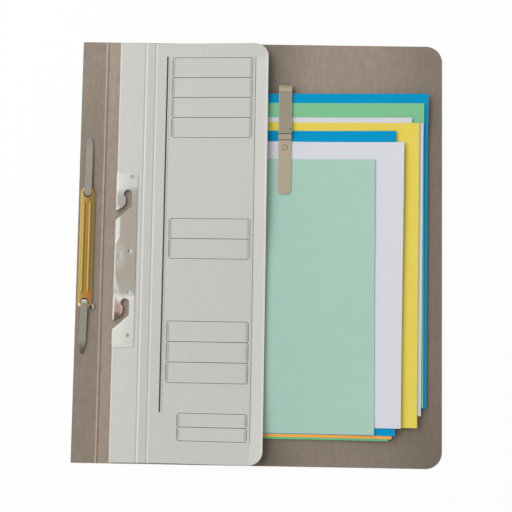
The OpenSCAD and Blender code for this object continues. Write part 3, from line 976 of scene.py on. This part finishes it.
strip_shape = packed_shape("cover_strip")
strip_cuts = [strip_middle + strip_half * share for share in (-0.9, -0.8, -0.7, 0, 0.7, 0.8, 0.9)]
slice_shape(strip_shape, (1, 0, 0), [(x, 0, 0) for x in strip_cuts])
for vertex in strip_shape.verts:
    share = (vertex.co.x - strip_middle) / strip_half
    vertex.co.z -= EDGE_TURN * share ** 2
round_edges(strip_shape, 0.08)
piece("cover_strip_brass", strip_shape, brass, ["cover_strip"], "flap")

# %% [markdown]
# A prong comes up through a hole of the strip, turns over in a round shoulder and lies outward, narrower
# towards a round tip. The imported prong ends at its hinge, so here shoulder and blade are swept as one
# strip. Neither prong lies quite straight.

# %% Prongs
PRONG_T = 0.4 * MM
ROOT_DEPTH = 0.88
base_top = card_t + PRONG_T


def swept_strip(stations):
    """A closed strip. A station: the outer face's middle, the way inward, the thickness, half the width."""
    shape = bmesh.new()
    rings = []
    for outer, lean, thickness, half in stations:
        side = Vector((half, 0, 0))
        inner = outer + lean * thickness
        corners = [outer - side, outer + side, inner + side, inner - side]
        rings.append([shape.verts.new(corner) for corner in corners])
    for first, second in zip(rings, rings[1:]):
        for i in range(4):
            shape.faces.new((first[i - 1], first[i], second[i], second[i - 1]))
    shape.faces.new(rings[0][::-1])
    shape.faces.new(rings[-1])
    bmesh.ops.recalc_face_normals(shape, faces=shape.faces)
    return shape


def prong_stations(hinge, out, length, half, fall, tip_r, taper, lean):
    """Up from the base in a round shoulder, then out along the leaning blade to its tip."""
    down = Vector((0, 0, -1))
    top = hinge.z + PRONG_T / 2
    foot = base_top + PRONG_T
    stations = []
    for turn in even(0.03, 1, 12):
        back = half * math.cos(turn * math.pi / 2)
        z = foot + (top - foot) * math.sin(turn * math.pi / 2)
        middle = Vector((hinge.x, hinge.y - out * back * ROOT_DEPTH, z))
        stations.append((middle, down, PRONG_T, round_end(half - back, half)))
    blade = even(0, length - tip_r - taper, 12)[1:] + even(length - tip_r - taper, length - tip_r, 4)[1:]
    blade += [length - tip_r + tip_r * share for share in round_steps(8)[:-1]]
    for y in blade:
        left = length - y
        wide = round_end(left, tip_r) if left < tip_r else tip_r + (half - tip_r) * (left - tip_r) / taper
        middle = Vector((hinge.x + lean * y / length, hinge.y + out * y, top - fall * y))
        stations.append((middle, down, PRONG_T, min(half, wide)))
    return stations


def make_prong(node, joint, tip_r, taper, shift, lean):
    low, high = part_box(node)
    hinge = crease_at[joint]
    out = 1 if high.y - hinge.y > hinge.y - low.y else -1
    length = max(high.y - hinge.y, hinge.y - low.y)
    fall = (hinge.z - PRONG_T / 2 - low.z) / length
    root = hinge + Vector((shift, 0, 0))
    stations = prong_stations(root, out, length, (high.x - low.x) / 2, fall, tip_r, taper, lean)
    shape = round_edges(swept_strip(stations), 0.08, 2, 60)
    made = piece(node + "_steel", shape, prong_steel, [node])
    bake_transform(made)


make_prong("prong_upper", "prong_upper_bend", 1.7 * MM, 4 * MM, 0.3 * MM, 0.2 * MM)
make_prong("prong_lower", "prong_lower_bend", 1.2 * MM, 6.5 * MM, 0, -1.0 * MM)

# %% Fastener base and rivets
base_shape = packed_shape("fastener_base")
roots = [vertex for vertex in base_shape.verts if vertex.co.z > base_top + 0.05 * MM]
bmesh.ops.delete(base_shape, geom=roots, context="VERTS")
round_edges(base_shape, 0.08)
piece("fastener_base_steel", base_shape, shaded_base_steel, ["fastener_base"], "flap")

FLUSH = 0.012 * MM


def stand_out_below(shape):
    """Sets a rivet that is flush with the card's underside a hair lower, so that it shows there."""
    for vertex in shape.verts:
        if vertex.co.z < FLUSH:
            vertex.co.z = -FLUSH
    return shape


rivet_shape = stand_out_below(packed_shape("fastener_rivets"))
round_edges(rivet_shape, 0.12, 3)
piece("fastener_rivet_heads", rivet_shape, rivet_steel, ["fastener_rivets"], "flap")

# %% [markdown]
# ## The spring clip
# The clip is one strip of spring steel: a leaf under the papers, a round bend, an arm, a step between two
# scored lines and a tongue. In the imported model it is cut at the bend so that the arm can spring. Here it
# is swept in one piece along its side view.

# %% Spring clip
leaf_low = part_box("clip_base")[0]
arm_low, arm_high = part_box("clip_arm")
clip_t = 0.5 * MM
CLIP_SLIM = 0.1 * MM
clip_half = (arm_high.x - arm_low.x) / 2 - CLIP_SLIM
clip_x = (arm_high.x + arm_low.x) / 2 + CLIP_SET
bend = crease_at["clip_lift"]
bend_r = arm_high.z - bend.z
SCORE_DEPTH = 0.2 * MM
SCORE_REACH = 0.42 * MM
TONGUE_CORNER = 3.4 * MM
tongue_top = arm_low.z + clip_t


def arm_level(y):
    """The arm's upper face: level, down the step between its scored lines, then level again."""
    slope = min(1, max(0, (y - STEP_FOOT) / (STEP_TOP - STEP_FOOT)))
    level = tongue_top + (arm_high.z - tongue_top) * slope
    score = hump(y - STEP_TOP, SCORE_REACH) + hump(y - STEP_FOOT, SCORE_REACH)
    return level - SCORE_DEPTH * (score + 0.3 * hump(y - BEND_SCORE, SCORE_REACH))


def arm_places():
    """Places along the arm and the tongue, close together where it bends and at the round end."""
    finer = 1 * MM
    score = (BEND_SCORE + SCORE_REACH, BEND_SCORE - SCORE_REACH)
    stops = [bend.y, *score, STEP_TOP + finer, STEP_FOOT - finer, arm_low.y + TONGUE_CORNER]
    places = []
    for first, last, count in zip(stops, stops[1:], (5, 7, 10, 49, 12)):
        places += even(first, last, count)[1:]
    return places + [stops[-1] - TONGUE_CORNER * share for share in round_steps(10)]


def clip_stations():
    """Along the clip's outer face: the leaf, the bend, the arm and the tongue."""
    stations = []
    for y in even(leaf_low.y, bend.y, 8)[:-1]:
        stations.append((Vector((clip_x, y, leaf_low.z)), Vector((0, 0, 1)), clip_t, clip_half))
    for angle in even(-math.pi / 2, math.pi / 2, 17):
        way = Vector((0, math.cos(angle), math.sin(angle)))
        middle = Vector((clip_x, bend.y, bend.z)) + way * bend_r
        stations.append((middle, -way, clip_t, clip_half))
    for y in arm_places():
        corner = round_end(y - arm_low.y, TONGUE_CORNER)
        middle = Vector((clip_x, y, arm_level(y)))
        stations.append((middle, Vector((0, 0, -1)), clip_t, clip_half - TONGUE_CORNER + corner))
    return stations


clip_shape = swept_strip(clip_stations())
round_edges(clip_shape, 0.09, 2, 60)
clip = piece("spring_clip_steel", clip_shape, clip_steel, ["clip_base", "clip_arm"])
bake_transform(clip)

# %% Rivets of the clip
RIVET_RINGS = [  # in mm, radius and height over the tongue: a flat rim, a ring groove and a low button
    (2.25, -0.05), (2.2, 0.1), (1.95, 0.12),
    (1.8, 0.02), (1.62, 0.02),
    (1.5, 0.1), (1.2, 0.13), (0.5, 0.13),
]


def turned_rivet(centre, rings, sides=40):
    """A rivet head turned about the vertical, closed underneath."""
    shape = bmesh.new()
    loops = []
    for radius, height in rings:
        loop = []
        for i in range(sides):
            angle = 2 * math.pi * i / sides
            offset = Vector((radius * math.cos(angle), radius * math.sin(angle), height))
            loop.append(shape.verts.new(centre + offset * MM))
        loops.append(loop)
    for lower, upper in zip(loops, loops[1:]):
        for i in range(sides):
            shape.faces.new((lower[i - 1], lower[i], upper[i], upper[i - 1]))
    shape.faces.new(loops[0][::-1])
    shape.faces.new(loops[-1])
    return shape


tongue_rivet = turned_rivet(Vector((rivet_x, rivet_y, tongue_top)), RIVET_RINGS)
piece("tongue_rivet", tongue_rivet, clip_steel, ["clip_rivet"], "clip")

leaf_rivets = stand_out_below(packed_shape("clip_base_rivets"))
round_edges(leaf_rivets, 0.06)
piece("leaf_rivets", leaf_rivets, rivet_steel, ["clip_base_rivets"], "back")

# %% [markdown]
# ## The papers
# Loose sheets never lie perfectly flat on each other: held at one side, they fan apart a little towards
# their free edges, and each edge then throws a soft shadow on the next sheet. All the sheets follow one
# rule for that, in which the gaps add up from the back, so no sheet passes through another. Their top edges
# rise together under the clip's arm, where the tongue doesn't press them. The sheets are cut a little out
# of square.

# %% Paper sheets
# One row a sheet, from the back of the stack. In mm: the gap to the sheet behind at the folder's right edge,
# how far the right edge is drawn in at its top and at its foot, and how far the top edge drops to the left.
SHEETS = [
    ("blue_back", "blue", 1.2, -0.3, 0.6, 1.7),
    ("green_back", "green", 0.9, 0.3, 0.4, 1.2),
    ("white_back", "white", 0.6, -0.2, 1.2, 1.1),
    ("white_middle", "white", 0.4, 0.2, 1.0, 1.0),
    ("yellow", "yellow", 0.5, -0.4, 0.7, 0.1),
    ("green_low", "deep_green", 0.4, 0.0, 0.0, 0.0),
    ("orange", "orange", 0.4, 0.1, 0.1, 0.0),
    ("blue_front", "blue", 0.6, 0.2, 0.2, 0.7),
    ("white_front", "white", 1.3, -0.7, 1.1, 0.0),
    ("mint", "mint", 1.2, 0.5, 0.0, 0.0),
]
TOP_RISE = 1.8 * MM
TOP_REACH = 24 * MM
WAVE_LENGTH = 38 * MM
fan_start = clip_x + 9 * MM


def fan(x, y):
    """The share of its full lift that a sheet has at a place."""
    out = max(0, (x - fan_start) / (back_high.x - fan_start))
    return out ** 1.6 * (1 + 0.15 * math.sin(y / WAVE_LENGTH))


def paper_sheet(node, lift, top_in, foot_in, drop):
    low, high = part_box(node)
    half = (high.y - low.y) / 2
    middle = (low.y + high.y) / 2

    def top(x, y):
        free = min(1, max(0, (y - STEP_FOOT) / TOP_REACH))
        return high.z + lift * fan(x, y) + TOP_RISE * free ** 2 * (3 - 2 * free)

    columns = even(low.x, fan_start, 4)[:-1] + even(fan_start, high.x, 25)
    shape = ruled_sheet(columns, even(-1, 1, 41), lambda x: half, middle, top, high.z - low.z)
    for vertex in shape.verts:
        across = (vertex.co.x - low.x) / (high.x - low.x)
        upward = (vertex.co.y - low.y) / (high.y - low.y)
        vertex.co.x -= across * (foot_in + (top_in - foot_in) * upward) * MM
        vertex.co.y -= drop * (1 - across) * upward * MM
    return shape


lift = 0
for sheet, colour, amount, *drawn in SHEETS:
    lift += amount * MM
    node = "sheet_" + sheet
    shape = paper_sheet(node, lift, *drawn)
    piece("paper_" + sheet, shape, paper[colour], [node], "sheets")

# %% [markdown]
# ## Floor and light
# The folder lies on a white table. One large soft box stands at the left. It gives the soft shadows to the
# right of the raised edges and the light flanks of the creases, and an even sky fills them. Together they
# light a level surface so that a colour looks as it is written. Metal would show the box as a glare, so
# metal doesn't see it: the sky is brighter on that side, and its soft edge shapes the metal. The floor is
# partly self-lit for the camera and for mirror images, which makes it white and keeps a trace of shadow.

# %% Floor
FLOOR_HALF = 40.0
FLOOR_DROP = 0.02 * MM
floor_corners = [(FLOOR_HALF * x, FLOOR_HALF * y, 0) for x, y in ((-1, -1), (1, -1), (1, 1), (-1, 1))]
floor_mesh = bpy.data.meshes.new("floor")
floor_mesh.from_pydata(floor_corners, [], [(0, 1, 2, 3)])
floor_finish = Finish("white_table")
seen = floor_finish.node("ShaderNodeLightPath", output="Is Camera Ray")
for ray in ("Is Glossy Ray", "Is Transmission Ray"):
    seen = seen + floor_finish.node("ShaderNodeLightPath", output=ray)
glow = floor_finish.node("ShaderNodeEmission", None, {"Color": (1, 1, 1, 1), "Strength": 1.0})
floor_finish.done(Base_Color=screen(244, 244, 243), Roughness=0.8)
table = Wire(floor_finish, floor_finish.shader.outputs[0])
surface = floor_finish.node("ShaderNodeMixShader", None, {0: seen * 0.9, 1: table, 2: glow})
floor_finish.put(floor_finish.tree.nodes["Material Output"].inputs["Surface"], surface)
floor_mesh.materials.append(floor_finish.owner)
floor = bpy.data.objects.new("floor", floor_mesh)
floor.location.z = -FLOOR_DROP
scene.collection.objects.link(floor)

# %% Soft box
BOX_AWAY = 1.5
BOX_LEVEL = 0.455  # about the light that it adds on a level white surface
toward = Vector((-0.7, 0.3, 0.58)).normalized()
lamp = bpy.data.lights.new("soft_box_left", "AREA")
lamp.shape = "RECTANGLE"
lamp.size = 2.0
lamp.size_y = 1.0
lamp.energy = BOX_LEVEL * math.pi ** 2 * BOX_AWAY ** 2 / toward.z
soft_box = bpy.data.objects.new("soft_box_left", lamp)
soft_box.location = toward * BOX_AWAY
soft_box.rotation_euler = toward.to_track_quat("Z", "Y").to_euler()
soft_box.visible_glossy = False
scene.collection.objects.link(soft_box)
print("soft box", round(lamp.energy, 2), "W")

# %% Sky
SKY_DARK = 0.36
SKY_LIGHT = 0.54
SKY_GLOW = 0.85
sky = Finish("studio_sky", sky=True)
box_side = Vector((-0.75, 0.3, 0.55)).normalized()
dot = {"operation": "DOT_PRODUCT"}
nearness = sky.node("ShaderNodeVectorMath", dot, {0: sky.place, 1: box_side}, output="Value")
fill = sky.node("ShaderNodeMapRange", None, {0: nearness, 1: -0.6, 2: 0.6, 3: SKY_DARK, 4: SKY_LIGHT})
bright_side = sky.step(nearness, 0.7, 0.98) * SKY_GLOW
scene.world = sky.done(Color=(1, 1, 1, 1), Strength=fill + bright_side)
scene.view_settings.view_transform = "Standard"
